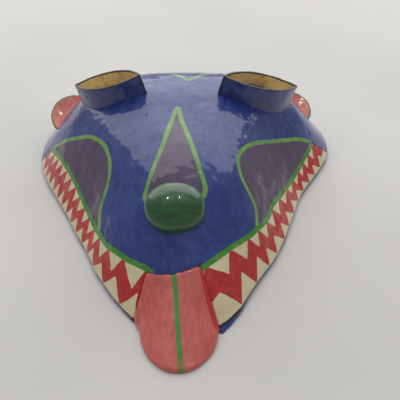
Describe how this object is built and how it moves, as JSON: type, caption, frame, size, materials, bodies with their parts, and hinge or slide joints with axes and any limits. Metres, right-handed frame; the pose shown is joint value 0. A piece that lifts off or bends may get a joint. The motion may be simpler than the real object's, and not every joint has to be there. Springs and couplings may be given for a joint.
{
  "type": "papier-mache animal mask",
  "caption": "Hand-painted papier-mache animal face mask with raised leaf-shaped eye collars, round nose, ears, projecting tongue, hollow back and a small hanging ring.",
  "frame": {"origin": "on the plane of the rim, in the middle of the mask's length and width", "axes": "+Z out of the face, +Y towards the forehead, +X across the face, to the right when looking at it with the tongue towards the viewer"},
  "size_m": [0.2531, 0.3201, 0.0898],
  "materials": {
    "painted_blue_paper": "painted and varnished",
    "pink_paper": "painted and varnished",
    "green_pulp": "painted and varnished",
    "blue_card": "painted and varnished",
    "cream_pulp": "painted and varnished",
    "pink_card": "painted and varnished",
    "steel_wire": "plain wire",
    "cloth_tape": "woven tape",
    "kraft_pulp": "bare paper pulp"
  },
  "bodies": {
    "mask": {"face_shell": "painted_blue_paper", "tongue": "pink_paper", "nose_cap": "green_pulp", "left_eye_back_wall": "blue_card", "left_eye_front_wall": "blue_card", "right_eye_back_wall": "blue_card", "right_eye_front_wall": "blue_card", "left_eyeball": "cream_pulp", "right_eyeball": "cream_pulp", "left_ear": "pink_card", "right_ear": "pink_card", "hanger_strap": "cloth_tape", "hanger_pad": "kraft_pulp"},
    "ring": {"hanger_ring": "steel_wire"}
  },
  "joints": [
    {"name": "ring_swing", "type": "hinge", "parent": "mask", "child": "ring", "pos_m": [0, 0.131, 0.02207], "axis": [1, 0, 0], "range_deg": [-110, 60]}
  ]
}
